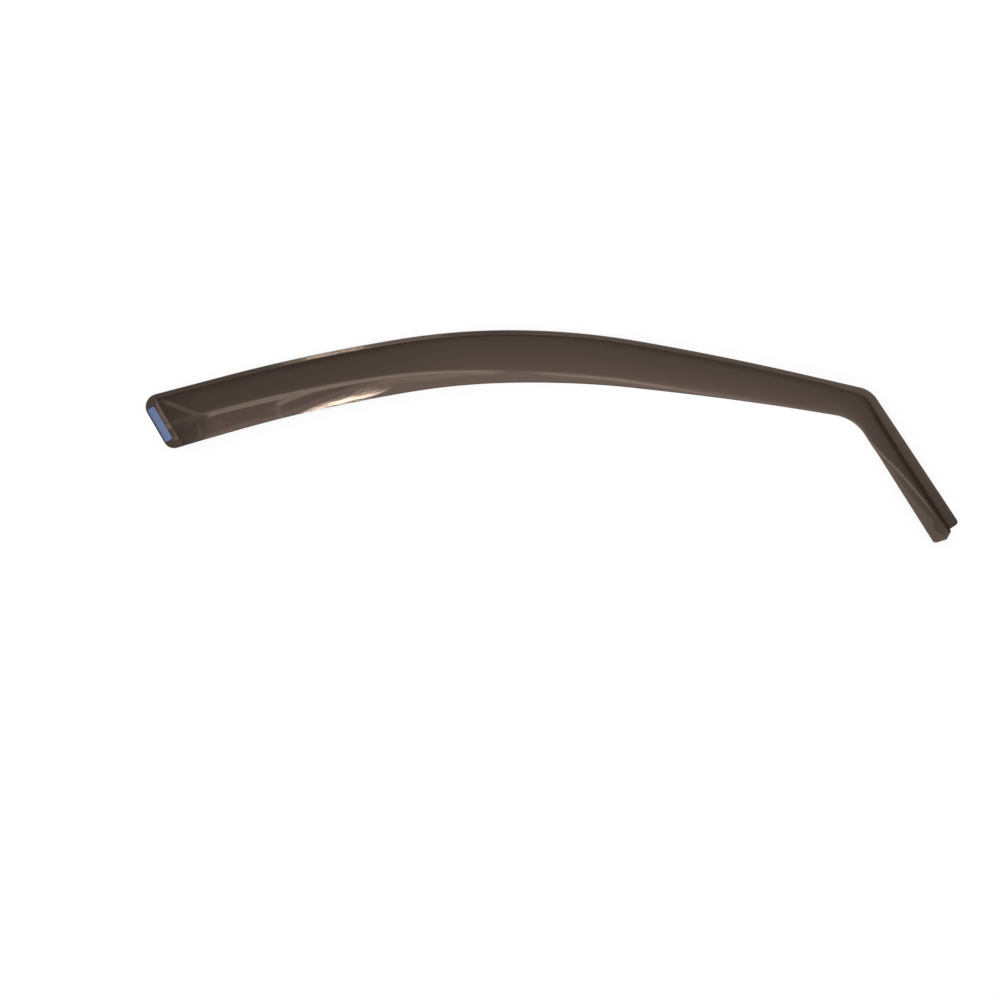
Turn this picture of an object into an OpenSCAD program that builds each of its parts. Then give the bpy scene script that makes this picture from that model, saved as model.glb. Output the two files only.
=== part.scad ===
// Wind and rain deflector for the side window of a car's front door, in millimetres.
// One sheet of smoked acrylic, hot-formed over a tool and trimmed to its outline. The flat flange
// round its rear end, top edge and leg slides into the window channel. From a step beside the
// flange the visor stands off the glass, rises to a crease and turns in again to its free lower
// edge. A strip of foam tape with a peel-off liner holds the rear end in the channel.
// It lies as it rests: inner side down, outer side up, rear end at -X, front leg at +X.

/* [Sheet] */
// Thickness of the acrylic sheet
sheet_t = 3; // [2:0.1:4]
// Height of the bow by which the front half follows the curved glass
bow_h = 6; // [0:0.5:12]

/* [Top edge, from the rear end to the leg] */
// Straight run at the rear end
rear_run = 92; // [80:1:140]
// Radius of the long bend behind the crown
rear_bend_r = 1970; // [1200:10:3000]
// Turn of the long bend behind the crown, in degrees
rear_bend = 5.5; // [3:0.1:8]
// Radius of the crown on its rear side
crown_rear_r = 727; // [500:1:1100]
// Turn of the crown on its rear side, in degrees
crown_rear = 9.2; // [6:0.1:12]
// Radius of the crown on its front side
crown_front_r = 785; // [500:1:1100]
// Turn of the crown on its front side, in degrees
crown_front = 9.9; // [6:0.1:12]
// Radius of the long bend before the leg
front_bend_r = 3300; // [2000:10:5000]
// Turn of the long bend before the leg, in degrees
front_bend = 3.1; // [1:0.1:5]
// Straight run up to the leg's corner
front_run = 58.4; // [50:0.1:120]

/* [Band height, across the sheet] */
// Height of the band at the rear end
rear_h = 60.8; // [55:0.1:72]
// Height of the band a third of the way to the crown
quarter_h = 58; // [52:0.1:70]
// Height of the band at the crown
crown_h = 55.7; // [50:0.1:66]
// Height of the band a third of the way from the crown to the leg
front_h = 51; // [44:0.1:60]
// Height of the band where it narrows into the leg
neck_h = 35.8; // [32:0.1:44]
// Length of the neck before the leg's corner
neck_run = 38; // [30:1:50]

/* [Rear end] */
// Angle between the top edge and the end edge, in degrees
rear_rake = 74.5; // [65:0.5:90]
// Radius of the upper rear corner
rear_top_r = 13.6; // [8:0.1:18]
// Radius of the lower rear corner
rear_low_r = 11.5; // [6:0.1:16]
// Width of the flange along the end edge
end_flange_w = 15.5; // [13:0.1:20]
// Height of the step beside the end flange
end_step = 2.2; // [1:0.1:4]
// Slope of the closing face at the rear end, in degrees
end_slope = 19; // [14:0.5:26]

/* [Leg] */
// Turn of the leg from the top edge, in degrees
leg_turn = 43.4; // [35:0.1:52]
// Radius of the outer corner above the leg
corner_r = 29; // [20:1:45]
// Radius of the inner corner beside the leg
inner_corner_r = 47; // [35:1:60]
// Length of the leg's flange from the corner
leg_run = 156.3; // [120:0.1:200]
// Width of the leg at its corner
leg_w = 31; // [28:0.1:36]
// Width that the leg gains on its way to the tip
leg_flare = 2.8; // [0:0.1:6]
// Radius on the corner of the flange at the leg's tip
flange_tip_r = 4; // [1:0.5:6]
// How far the visor's tip reaches past the flange
tip_reach = 7.1; // [4:0.1:12]
// Distance of the tip's furthest point from the outer edge
tip_peak = 20.6; // [16:0.1:26]
// Bevel of the tip on its flange side, in degrees
tip_bevel_out = 26.5; // [10:0.5:35]
// Bevel of the tip on its inner side, in degrees
tip_bevel_in = 16; // [5:1:30]
// Cut across the tip's inner corner
tip_cut = 2; // [1:0.5:5]
// How far the wall of the notch between the flange's end and the visor's tip leans inwards
notch_lean = 0.9; // [0.5:0.1:1.5]

/* [Section] */
// Width of the flange along the top edge
rail_flange_w = 4.5; // [3:0.1:8]
// Width of the flange at the leg's corner
leg_flange_w = 9.4; // [7:0.1:11]
// Width of the flange at the leg's tip
tip_flange_w = 11; // [8:0.1:12]
// Height of the step beside the flange on the top edge
rail_step = 3.5; // [2:0.1:5]
// Height of the step beside the flange at the leg's corner
leg_step = 3.6; // [2.5:0.1:5]
// Height of the step beside the flange at the leg's tip
tip_step = 4.6; // [3:0.1:6]
// Steepness of the step, in degrees
step_slope = 50; // [40:1:56]
// Slope of the visor's face on the top edge, in degrees
face_slope = 20; // [15:0.5:25]
// Slope of the visor's face on the leg, in degrees
leg_face_slope = 25; // [18:0.5:30]
// Width of the turned-in lip at the rear end
lip_rear_w = 25.5; // [20:0.5:28]
// Width of the lip between the rear end and the crown
lip_mid_w = 20.5; // [15:0.5:25]
// Width of the lip at the crown
lip_crown_w = 11.5; // [8:0.5:15]
// Width of the lip a third of the way from the crown to the leg
lip_front_w = 7.2; // [5:0.2:10]
// Width of the lip two fifths down the leg
lip_leg_w = 9; // [6:0.2:12]
// Width of the lip at the leg's tip
lip_tip_w = 19.2; // [16:0.1:21]
// Slope of the lip at the rear end, in degrees
lip_rear_slope = 9.6; // [4:0.2:16]
// Slope of the lip at the crown and beyond it, in degrees
lip_slope = 20; // [12:1:28]
// Slope of the lip on the leg, in degrees
lip_leg_slope = 7; // [2:0.5:12]
// Softness of the crease, as the height that it rounds off
crease_soft = 1.8; // [1.4:0.1:3]
// Softness of the upper bend of the step
step_soft = 2; // [1.8:0.1:2.4]
// Softness of the crease round the closing face at the rear end
end_soft = 2.4; // [1.6:0.1:3.5]
// Softness of the upper bend of the step at the rear end
end_step_soft = 3; // [2.8:0.1:3.6]
// Softness of the groove at the foot of the step
groove_soft = 0.6; // [0.3:0.1:1.5]

/* [Tape on the end flange] */
// Length of the foam tape
tape_l = 40.4; // [30:0.1:42]
// Width of the foam tape
tape_w = 9.4; // [6:0.1:10]
// Thickness of the foam tape
tape_t = 0.8; // [0.5:0.1:1.5]
// Distance of the tape from the top corner, along the end edge
tape_start = 14.3; // [14:0.1:18]
// Distance of the tape from the end edge
tape_inset = 1; // [0.8:0.1:2]
// Border of foam that shows round the liner
liner_border = 0.6; // [0.2:0.1:1.5]
// Thickness of the peel-off liner
liner_t = 0.2; // [0.1:0.05:0.4]

/* [Hidden] */

// Runs of the top edge as [length, turn], from the sharp rear corner to the end of the leg's flange
function arc_length(r, turn) = r * turn * PI / 180;
runs = [
    [rear_run, 0],
    [arc_length(rear_bend_r, rear_bend), -rear_bend],
    [arc_length(crown_rear_r, crown_rear), -crown_rear],
    [arc_length(crown_front_r, crown_front), -crown_front],
    [arc_length(front_bend_r, front_bend), -front_bend],
    [front_run, 0],
    [arc_length(corner_r, leg_turn), -leg_turn],
    [leg_run, 0]
];
function total_to(n) = n == 0 ? 0 : runs[n - 1][0] + total_to(n - 1);

// Places along the top edge, measured from the sharp rear corner
crown_s = total_to(3);
corner_s = total_to(6);
leg_s = total_to(7);
tip_s = total_to(8);
neck_s = corner_s - neck_run;
quarter_s = 0.35 * crown_s;
front_s = crown_s + 0.35 * (neck_s - crown_s);

// The edge is level at the crown, so it starts with the heading that the rear bends take up
start_heading = rear_bend + crown_rear;
leg_heading = -(crown_front + front_bend + leg_turn);

// [x, y, heading] after a walk of d from p that turns evenly by turn degrees
function walk(p, d, turn) =
    abs(turn) < 0.000001
        ? [p.x + d * cos(p.z), p.y + d * sin(p.z), p.z]
        : let (r = d / (turn * PI / 180))
            [p.x + r * (sin(p.z + turn) - sin(p.z)), p.y - r * (cos(p.z + turn) - cos(p.z)), p.z + turn];

// [x, y, heading] of the top edge at path length s
function edge(s, i = 0, p = [0, 0, start_heading]) =
    i == len(runs) - 1 || s <= runs[i][0]
        ? walk(p, s, runs[i][1] * s / runs[i][0])
        : edge(s - runs[i][0], i + 1, walk(p, runs[i][0], runs[i][1]));

function ahead(h) = [cos(h), sin(h)];
function across(h) = [sin(h), -cos(h)];
function flat(p) = [p.x, p.y];
function unit(v) = v / norm(v);
function mix(a, b, t) = a + (b - a) * t;
function clamp(x, low, high) = max(low, min(high, x));
function ease(t) = let (u = clamp(t, 0, 1)) u * u * (3 - 2 * u);

// A smooth curve through knots of [place, value], level beyond its ends
function knot_slope(k, i) =
    let (a = max(i - 1, 0), b = min(i + 1, len(k) - 1))
        (k[b][1] - k[a][1]) / (k[b][0] - k[a][0]);
function law(k, s, i = 0) =
    s <= k[0][0] ? k[0][1]
    : s >= k[len(k) - 1][0] ? k[len(k) - 1][1]
    : s > k[i + 1][0] ? law(k, s, i + 1)
    : let (
        step = k[i + 1][0] - k[i][0],
        u = (s - k[i][0]) / step,
        v = 1 - u
    )
        k[i][1] * v * v * (1 + 2 * u) + k[i + 1][1] * u * u * (3 - 2 * u)
            + step * u * v * (knot_slope(k, i) * v - knot_slope(k, i + 1) * u);

// What the section measures at each place along the top edge
band_knots = [[0, rear_h], [quarter_s, quarter_h], [crown_s, crown_h], [front_s, front_h], [neck_s, neck_h]];
function band(s) = law(band_knots, s);
function inner(s) = let (p = edge(s)) flat(p) + across(p.z) * band(s);

// Lines and the corner between the neck and the leg's inner edge
neck_p = inner(neck_s);
neck_dir = unit(neck_p - inner(neck_s - 1));
leg_p = edge(leg_s);
leg_dir = ahead(leg_heading);
leg_in = across(leg_heading);
inner_leg_p = flat(leg_p) + leg_in * leg_w;
inner_leg_dir = unit(leg_dir * leg_run + leg_in * leg_flare);
function cross2(a, b) = a.x * b.y - a.y * b.x;
function meet(p, a, q, b) = p + a * (cross2(q - p, b) / cross2(a, b));
inner_corner_p = meet(neck_p, neck_dir, inner_leg_p, inner_leg_dir);
inner_turn = acos(neck_dir * inner_leg_dir);
inner_tangent = inner_corner_r * tan(inner_turn / 2);
bay_start = inner_corner_p - neck_dir * inner_tangent;
bay_end = inner_corner_p + inner_leg_dir * inner_tangent;
neck_l = norm(bay_start - neck_p);
bay_l = arc_length(inner_corner_r, inner_turn);
bay_heading = atan2(neck_dir.y, neck_dir.x);
foot_a = (bay_end - flat(leg_p)) * leg_dir;
foot_s = leg_s + foot_a;
function leg_band(a) = leg_w + leg_flare * a / leg_run;

flange_knots = [[neck_s, rail_flange_w], [foot_s, leg_flange_w], [tip_s, tip_flange_w]];
step_knots = [[neck_s, rail_step], [foot_s, leg_step], [tip_s, tip_step]];
face_knots = [[neck_s, face_slope], [foot_s, leg_face_slope]];
lip_knots = [
    [quarter_s / 2, lip_rear_w],
    [quarter_s * 1.8, lip_mid_w],
    [crown_s, lip_crown_w],
    [front_s, lip_front_w],
    [neck_s, 0],
    [mix(foot_s, tip_s, 0.08), 0],
    [mix(foot_s, tip_s, 0.4), lip_leg_w],
    [tip_s, lip_tip_w]
];
lip_slope_knots = [
    [quarter_s, lip_rear_slope],
    [crown_s, lip_slope],
    [neck_s, lip_slope],
    [foot_s, lip_leg_slope]
];
function flange_at(s) = law(flange_knots, s);
function step_at(s) = law(step_knots, s);
function step_run_at(s) = step_at(s) / tan(step_slope);
function lip_at(s) = max(law(lip_knots, s), 0);

// How far the roundings at the groove, the step and the crease reach along the section
groove_reach = groove_soft / tan(step_slope);
step_reach = step_soft / (tan(step_slope) - tan(face_slope));
crease_reach = crease_soft / (tan(face_slope) + tan(lip_slope));

// Height of the flange along the bow, which starts at the crown and ends at the leg's tip
function bow(s) =
    let (u = max(s - crown_s, 0) / (tip_s - crown_s))
        bow_h * 6.75 * u * u * (1 - u);

// The lower or higher of two heights, with the bend between them rounded
function soft_min(a, b, k) = let (h = max(k - abs(a - b), 0)) min(a, b) - h * h / (4 * k);
function soft_max(a, b, k) = -soft_min(-a, -b, k);

// Height above the flange: the visor is the lowest of its step, face, lip and closing end face,
// at distance d from the top edge in a band of height w, and distance e inside the end flange
function rise(d, w, s, e) =
    let (
        steep = tan(step_slope),
        top = flange_at(s) + step_run_at(s),
        slope = tan(law(face_knots, s)),
        crease_d = w - lip_at(s),
        face = step_at(s) + (d - top) * slope,
        crease_z = step_at(s) + (crease_d - top) * slope,
        lip = crease_z - (d - crease_d) * tan(law(lip_slope_knots, s)),
        visor = soft_min(face, lip, crease_soft),
        sided = soft_min((d - flange_at(s)) * steep, visor, step_soft),
        end_face = end_step + (e - end_step / steep) * tan(end_slope),
        closed = soft_min(sided, end_face, end_soft),
        ended = soft_min(e * steep, closed, end_step_soft)
    )
        soft_max(ended, 0, groove_soft);

// The rear end: its corners, and the two ends of a line across the band at distance q from the end edge
end_heading = start_heading - rear_rake;
end_dir = ahead(end_heading);
end_in = -across(end_heading);
rail_dir = ahead(start_heading);
rail_in = across(start_heading);
function low_s(q, s = 0, n = 4) =
    n == 0 ? s : low_s(q, (q + band(s) * cos(rear_rake)) / sin(rear_rake), n - 1);
low_corner = inner(low_s(0));
low_dir = unit(inner(low_s(0) + 1) - low_corner);
low_angle = acos(-end_dir * low_dir);
top_round = rear_top_r * (1 + cos(rear_rake));
low_round = rear_low_r * (1 + cos(low_angle));
top_centre = end_dir * rear_top_r / tan(rear_rake / 2) + end_in * rear_top_r;
low_centre = low_corner - end_dir * rear_low_r / tan(low_angle / 2) + end_in * rear_low_r;
function round_point(centre, r, q, way) =
    let (a = acos(1 - q / r))
        centre - end_in * r * cos(a) + end_dir * r * sin(a) * way;
function top_point(q) =
    q < top_round ? round_point(top_centre, rear_top_r, q, -1) : rail_dir * q / sin(rear_rake);
function low_point(q) =
    q < low_round ? round_point(low_centre, rear_low_r, q, 1) : inner(low_s(q));

// A station is a line across the sheet: [outer point, inner point, place along the top edge,
// distance of the outer point from the top edge, band height, share of the tip's reach]
// The rear stations cover the closing face, which rises from the end flange to the crease
rear_face_w = rear_h - lip_rear_w - rail_flange_w - rail_step / tan(step_slope);
rear_crease_z = rail_step + rear_face_w * tan(face_slope);
rear_zone = end_flange_w + end_soft + rear_crease_z / tan(end_slope);
end_step_q = end_flange_w + 3 * groove_reach;
rear_q = concat(
    [0, 0.06, 0.2, 0.4, 0.7] * rear_low_r,
    [mix(0.7 * rear_low_r, end_flange_w, 0.5)],
    [end_flange_w - 1.5 * groove_reach, end_flange_w + groove_reach],
    [for (k = [0:18]) mix(end_step_q, rear_zone, k / 18)]
);
rear_stations = [
    for (q = rear_q)
        let (a = top_point(q), b = low_point(q), d = a * rail_in)
            [a, b, a * rail_dir, d, b * rail_in, 0]
];

// Raked stations turn square to the top edge over the next stretch
skew_s = rear_zone / sin(rear_rake);
skew = low_s(rear_zone) - skew_s;
skew_run = rear_run;
rail_pitch = rear_h / 4;
rail_count = ceil((neck_s - skew_s) / rail_pitch);
rail_stations = [
    for (k = [1:rail_count])
        let (
            s = mix(skew_s, neck_s, k / rail_count),
            p = edge(s),
            b = inner(s + skew * (1 - ease((s - skew_s) / skew_run)))
        )
            [flat(p), b, s, 0, (b - flat(p)) * across(p.z), 0]
];

// Stations fan out round the corner between the neck and the leg
corner_places = concat(
    [for (k = [1:4]) mix(neck_s, corner_s, k / 4)],
    [for (k = [1:7]) mix(corner_s, leg_s, k / 7)],
    [for (k = [1:5]) mix(leg_s, foot_s, k / 5)]
);
function bay_point(v) =
    v < neck_l
        ? neck_p + neck_dir * v
        : flat(walk([bay_start.x, bay_start.y, bay_heading], v - neck_l, -inner_turn * (v - neck_l) / bay_l));
corner_stations = [
    for (s = corner_places)
        let (
            a = flat(edge(s)),
            b = bay_point((neck_l + bay_l) * (s - neck_s) / (foot_s - neck_s))
        )
            [a, b, s, 0, norm(b - a), 0]
];

// Leg stations are square to its outer edge and follow the rounded corner at the flange's end
tip_zone = 2 * tip_reach;
function leg_station(a, d, reach) =
    let (p = flat(leg_p) + leg_dir * a, w = leg_band(a))
        [p + leg_in * d, p + leg_in * w, leg_s + a, d, w, reach];
leg_pitch = leg_w / 3;
leg_count = ceil((leg_run - tip_zone - foot_a) / leg_pitch);
leg_stations = [
    for (k = [1:leg_count])
        leg_station(mix(foot_a, leg_run - tip_zone, k / leg_count), 0, 0)
];
round_count = 4;
round_a = leg_run - flange_tip_r;
round_reach = 1 - flange_tip_r / tip_zone;
tip_stations = concat(
    [leg_station(mix(leg_run - tip_zone, round_a, 0.5), 0, round_reach / 2)],
    [
        for (k = [0:round_count])
            let (t = 90 * k / round_count, a = round_a + flange_tip_r * sin(t))
                leg_station(a, flange_tip_r * (1 - cos(t)), 1 - (leg_run - a) / tip_zone)
    ]
);
stations = concat(rear_stations, rail_stations, corner_stations, leg_stations, tip_stations);

// Places across the band, close together at the step and at the crease
function places(s, w) =
    let (
        f = flange_at(s),
        j = step_run_at(s),
        a = f + j + 1.3 * step_reach,
        c = clamp(w - lip_at(s), a + 1.5 * crease_reach, w - 2 * crease_reach),
        above = min((c - a) / 2, 1.6 * crease_reach),
        below = min((w - c) / 2, 1.6 * crease_reach)
    )
        concat(
            [0, f * 0.55, f - groove_reach, f + 0.25 * j, f + 0.75 * j, f + j + 0.4 * step_reach, a],
            [for (k = [1:4]) mix(a, c - above, k / 5)],
            [for (share = [1, 0.5, 0.18]) c - share * above],
            [for (share = [0.18, 0.5, 1]) c + share * below],
            [for (k = [1:5]) mix(c + below, w, k / 5)]
        );

// How far past the end of the flange the tip reaches at distance d from the outer edge
function reach_at(d, w) =
    let (
        bevel = max((tip_peak - d) * tan(tip_bevel_out), (d - tip_peak) * tan(tip_bevel_in)),
        cut = max(d - (w - tip_cut), 0),
        share = clamp((d - tip_flange_w) / notch_lean, 0, 1)
    )
        (tip_reach - bevel - cut) * share;

// Outer skin: one row of points a station
function skin_row(st) =
    let (s = st[2], d0 = st[3], w = st[4])
        [
            for (place = places(s, w))
                let (
                    d = s > leg_s ? max(place, d0) : mix(d0, w, place / w),
                    p = mix(st[0], st[1], (d - d0) / (w - d0)),
                    q = p + leg_dir * reach_at(d, w) * st[5],
                    e = q * end_in - end_flange_w
                )
                    [q.x, q.y, sheet_t + bow(s) + rise(d, w, s, e)]
        ];
outer_skin = [for (st = stations) skin_row(st)];
rows = len(outer_skin);
cols = len(outer_skin[0]);

// Direction at b of the curve through a, b and c, in which the nearer of a and c counts more
function tangent(a, b, c) =
    let (before = norm(b - a), after = norm(c - b))
        before * after == 0 ? c - a : (b - a) * after / before + (c - b) * before / after;

function skin_point(k, j) = outer_skin[clamp(k, 0, rows - 1)][clamp(j, 0, cols - 1)];

// Square to the outer skin at row k and column j, pointing out of it
function skin_normal(k, j) =
    let (
        over = tangent(skin_point(k, j - 1), skin_point(k, j), skin_point(k, j + 1)),
        along = tangent(skin_point(k - 1, j), skin_point(k, j), skin_point(k + 1, j))
    )
        unit(cross(over, along));
function last_there(k, j) =
    j < cols - 1 && norm(outer_skin[k][j + 1] - outer_skin[k][j]) < 0.001 ? last_there(k, j + 1) : j;
inner_skin = [
    for (k = [0:rows - 1])
        [for (j = [0:cols - 1]) outer_skin[k][j] - skin_normal(k, last_there(k, j)) * sheet_t]
];

// Faces of the closed sheet, two triangles to a patch, without those that have no area
points = concat([for (r = outer_skin) each r], [for (r = inner_skin) each r]);
function up_at(k, j) = k * cols + j;
function down_at(k, j) = (rows + k) * cols + j;
function patch(a, b, c, d) = [[a, b, c], [a, c, d]];
patches = [
    for (k = [0:rows - 2], j = [0:cols - 2]) each concat(
        patch(up_at(k, j), up_at(k + 1, j), up_at(k + 1, j + 1), up_at(k, j + 1)),
        patch(down_at(k, j + 1), down_at(k + 1, j + 1), down_at(k + 1, j), down_at(k, j))
    ),
    for (k = [0:rows - 2]) each concat(
        patch(up_at(k + 1, 0), up_at(k, 0), down_at(k, 0), down_at(k + 1, 0)),
        patch(up_at(k, cols - 1), up_at(k + 1, cols - 1), down_at(k + 1, cols - 1), down_at(k, cols - 1))
    ),
    for (j = [0:cols - 2]) each concat(
        patch(up_at(0, j), up_at(0, j + 1), down_at(0, j + 1), down_at(0, j)),
        patch(up_at(rows - 1, j + 1), up_at(rows - 1, j), down_at(rows - 1, j), down_at(rows - 1, j + 1))
    )
];
function face_area(f) = norm(cross(points[f[1]] - points[f[0]], points[f[2]] - points[f[0]])) / 2;
faces = [for (f = patches) if (face_area(f) > 0.00001) f];

// The middle of the sheet's box stands on the origin
xs = [for (p = points) p.x];
ys = [for (p = points) p.y];
middle = [(min(xs) + max(xs)) / 2, (min(ys) + max(ys)) / 2];

module in_place() {
    translate([-middle.x, -middle.y, 0]) children();
}

// Strip lying on the end flange, along its end edge, border narrower than the tape on every side
module strip(border, z, t) {
    in_place()
        rotate([0, 0, end_heading])
            translate([tape_start + border, tape_inset + border, z])
                cube([tape_l - 2 * border, tape_w - 2 * border, t]);
}

// The formed and trimmed sheet
module deflector_shell() {
    color([0.26, 0.21, 0.18])
        in_place()
            polyhedron(points = points, faces = faces, convexity = 8);
}

// Double-sided foam tape on the outer face of the end flange
module foam_tape() {
    color([0.08, 0.08, 0.09])
        strip(0, sheet_t, tape_t);
}

// Film that covers the tape's glue until it is fitted
module release_liner() {
    color([0.42, 0.53, 0.74])
        strip(liner_border, sheet_t + tape_t, liner_t);
}

deflector_shell();
foam_tape();
release_liner();
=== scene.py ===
# %% [markdown]
# # A window rain deflector of smoked acrylic
# This deflector is pushed into the window channel of a car's front door. It keeps rain and wind
# out while the glass is a little down. One sheet of brown acrylic, 3 mm thick, is heated, formed
# over a tool and trimmed. A short strip of foam tape holds its rear end.
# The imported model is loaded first, because each piece made here takes its place from it.

# %% Load the frame
import bpy
import mathutils
import numpy as np
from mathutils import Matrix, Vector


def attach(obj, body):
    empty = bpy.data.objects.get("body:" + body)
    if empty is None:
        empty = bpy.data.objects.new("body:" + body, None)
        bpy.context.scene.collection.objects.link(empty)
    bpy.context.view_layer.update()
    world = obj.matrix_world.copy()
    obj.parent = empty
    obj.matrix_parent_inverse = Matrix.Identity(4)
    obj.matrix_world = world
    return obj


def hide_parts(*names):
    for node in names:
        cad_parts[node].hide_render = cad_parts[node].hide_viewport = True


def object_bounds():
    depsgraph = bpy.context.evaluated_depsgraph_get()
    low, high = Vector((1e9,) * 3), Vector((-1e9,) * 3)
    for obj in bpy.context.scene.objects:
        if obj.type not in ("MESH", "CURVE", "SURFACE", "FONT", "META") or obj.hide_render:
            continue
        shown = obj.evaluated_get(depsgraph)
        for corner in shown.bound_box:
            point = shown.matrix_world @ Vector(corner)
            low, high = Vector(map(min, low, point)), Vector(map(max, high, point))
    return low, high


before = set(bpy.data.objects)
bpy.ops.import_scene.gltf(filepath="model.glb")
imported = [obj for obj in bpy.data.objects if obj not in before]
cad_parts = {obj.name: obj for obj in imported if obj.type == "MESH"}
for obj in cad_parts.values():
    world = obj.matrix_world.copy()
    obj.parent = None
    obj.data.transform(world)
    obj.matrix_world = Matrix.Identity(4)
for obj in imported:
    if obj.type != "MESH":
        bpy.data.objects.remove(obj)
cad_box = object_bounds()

print("The CAD model's box, in metres:", [[round(v, 4) for v in corner] for corner in cad_box])

# %% [markdown]
# ## The camera
# The deflector lies on a table and the camera looks straight down on it. A long lens from far
# away shows the outline without widening what stands nearer. A camera with no perspective would
# do that too, but a real one always has a little. A place in the picture is turned into a place
# on the table with one scale, 1.05 mm to a pixel.

# %% Camera
MM = 0.001
PICTURE_PX = 1000
MM_PER_PX = 1.05
MIDDLE_PX = (551.6, 436.5)
CAMERA_HEIGHT = 8.0


def picture_place(px, py):
    """The place on the table, in metres, that shows at a pixel of the picture."""
    return (px - MIDDLE_PX[0]) * MM_PER_PX * MM, (MIDDLE_PX[1] - py) * MM_PER_PX * MM


camera_data = bpy.data.cameras.new("camera")
camera = bpy.data.objects.new("camera", camera_data)
bpy.context.scene.collection.objects.link(camera)
camera.location = (*picture_place(PICTURE_PX / 2, PICTURE_PX / 2), CAMERA_HEIGHT)
camera_data.lens = camera_data.sensor_width * CAMERA_HEIGHT / (PICTURE_PX * MM_PER_PX * MM)
camera_data.clip_end = 100
bpy.context.scene.camera = camera
bpy.context.scene.view_settings.view_transform = "Standard"
print("Camera over", [round(v, 3) for v in camera.location], "with a lens of", round(camera_data.lens), "mm")

# %% [markdown]
# ## The outline of the sheet
# The real sheet is cut along a template of the door's window channel. Its top edge is a chain of
# straight runs and arcs from the rear end to the tip of the front leg. A curve with handles could
# follow it, but its arcs would be only nearly round. So the edge is walked along by formulas. A
# place on the table is held as one complex number, x + iy, because then an arc is one short
# formula and a turn is one multiplication. The sizes are those of the solid model.

# %% Sizes of the top edge
rear_run, front_run, leg_run = 92 * MM, 58.4 * MM, 156.3 * MM
rear_bend_r, crown_rear_r, crown_front_r, front_bend_r = 1970 * MM, 727 * MM, 785 * MM, 3300 * MM
rear_bend, crown_rear, crown_front, front_bend, leg_turn = np.radians([5.5, 9.2, 9.9, 3.1, 43.4])
corner_r, neck_run = 29 * MM, 38 * MM
knot_share = 0.35
print("The top edge turns by", round(np.degrees(crown_rear + crown_front)), "degrees at the crown")
print("It turns by", round(np.degrees(leg_turn), 1), "degrees into the leg")

# %% Top edge
runs = [
    (rear_run, 0),
    (rear_bend_r * rear_bend, -rear_bend),
    (crown_rear_r * crown_rear, -crown_rear),
    (crown_front_r * crown_front, -crown_front),
    (front_bend_r * front_bend, -front_bend),
    (front_run, 0),
    (corner_r * leg_turn, -leg_turn),
    (leg_run, 0),
]
run_ends = np.cumsum([length for length, turn in runs])
crown_s, corner_s, leg_s, tip_s = run_ends[[2, 5, 6, 7]]
neck_s = corner_s - neck_run
quarter_s = knot_share * crown_s
front_s = crown_s + knot_share * (neck_s - crown_s)
start_heading = rear_bend + crown_rear
leg_heading = -(crown_front + front_bend + leg_turn)


def ahead(heading):
    """A step of length one along a heading."""
    return np.exp(1j * heading)


def walk(place, heading, distance, bend):
    """Where a walk from a place ends, when it turns by bend in each metre."""
    if bend == 0:
        return place + distance * ahead(heading)
    return place + (ahead(heading + bend * distance) - ahead(heading)) / (1j * bend)


def top_edge(s):
    """Place and heading of the top edge at path length s."""
    s = np.asarray(s, float)
    place, heading = np.zeros(s.shape, complex), np.zeros(s.shape)
    at, turned, start = 0j, start_heading, 0.0
    for number, (length, turn) in enumerate(runs):
        here = s >= start if number else np.full(s.shape, True)
        place = np.where(here, walk(at, turned, s - start, turn / length), place)
        heading = np.where(here, turned + (s - start) * turn / length, heading)
        at, turned, start = walk(at, turned, length, turn / length), turned + turn, start + length
    return place, heading


print("The top edge is", round(tip_s * 1000), "mm long from the rear corner to the flange's end")

# %% [markdown]
# ## The section of the sheet
# Across the band the sheet goes from a flat flange over a step to the visor's face, bends at a
# crease and turns in again as a lip. Each of these is a plane, and the sheet follows the lowest
# one. Where two planes meet, heated acrylic never makes a sharp bend, so a soft minimum rounds
# it. A drawn section could be swept along the path, but this section is never the same twice. So
# the widths and slopes change slowly along the band, by smooth curves through a few knots.

# %% Laws along the band
rear_h, quarter_h, crown_h, front_h, neck_h = (h * MM for h in (60.8, 58, 55.7, 51, 35.8))
height_knots = [
    (0, rear_h), (quarter_s, quarter_h), (crown_s, crown_h), (front_s, front_h), (neck_s, neck_h)
]


def mix(a, b, t):
    """The value a share t of the way from a to b."""
    return a + (b - a) * t


def ease(t):
    """A smooth ramp from 0 to 1, level at both ends."""
    t = np.clip(t, 0, 1)
    return t * t * (3 - 2 * t)


def law(knots, s):
    """A smooth curve through knots of (place, value), level beyond its ends."""
    at, value = np.array([k[0] for k in knots]), np.array([k[1] for k in knots])
    last = len(knots) - 1
    before, after = np.maximum(np.arange(last + 1) - 1, 0), np.minimum(np.arange(last + 1) + 1, last)
    slope = (value[after] - value[before]) / (at[after] - at[before])
    s = np.clip(s, at[0], at[-1])
    i = np.clip(np.searchsorted(at, s) - 1, 0, last - 1)
    step = at[i + 1] - at[i]
    u = (s - at[i]) / step
    v = 1 - u
    return (
        value[i] * v * v * (1 + 2 * u)
        + value[i + 1] * u * u * (3 - 2 * u)
        + step * u * v * (slope[i] * v - slope[i + 1] * u)
    )


def band_height(s):
    """Width of the band, square to its top edge."""
    return law(height_knots, s)


def lower_edge(s):
    """Place of the free lower edge at path length s of the top edge."""
    place, heading = top_edge(s)
    return place - 1j * ahead(heading) * band_height(s)


for where, at in (("rear end", 0), ("crown", crown_s), ("neck", neck_s)):
    print("The band at the", where, "is", round(band_height(at) * 1000, 1), "mm wide")

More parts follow.
